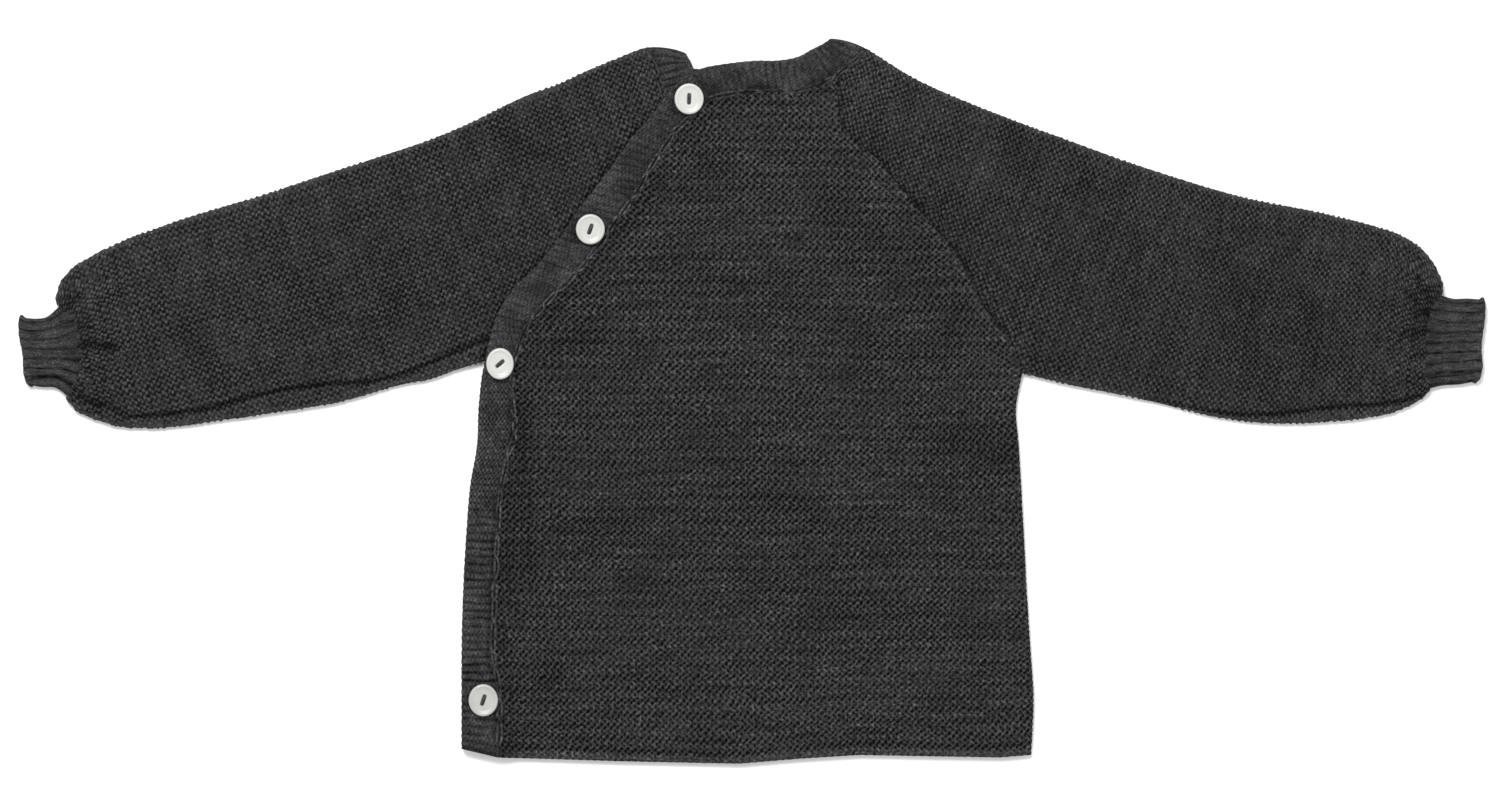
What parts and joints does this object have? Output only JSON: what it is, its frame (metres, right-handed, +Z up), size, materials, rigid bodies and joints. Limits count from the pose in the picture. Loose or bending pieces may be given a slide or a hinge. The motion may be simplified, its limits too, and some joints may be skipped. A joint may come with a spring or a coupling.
{
  "type": "baby merino sweater",
  "caption": "Baby's knitted raglan sweater laid flat, with gathered sleeves, ribbed cuffs and neckband, and a buttoned band down one raglan seam and side.",
  "frame": {"origin": "on the surface the sweater lies on, under the middle of its whole extent", "axes": "+X from the buttoned side towards the plain sleeve, +Y from hem to neck, +Z up from the surface through back and front"},
  "size_m": [0.5862, 0.2894, 0.0095],
  "materials": {
    "knit": "charcoal melange merino, textured knit, matt with a soft nap",
    "rib": "charcoal melange merino, ribbed knit, matt with a soft nap",
    "button": "off-white, satin, like shell or plant-based plastic"
  },
  "bodies": {
    "root": {"back": "knit", "front": "knit", "sleeve_button_side": "knit", "sleeve_plain_side": "knit", "cuff_button_side": "rib", "cuff_plain_side": "rib", "neckband": "rib", "buttonhole_band": "rib", "button_band": "rib", "button_1": "button", "button_2": "button", "button_3": "button", "button_4": "button"}
  },
  "joints": []
}
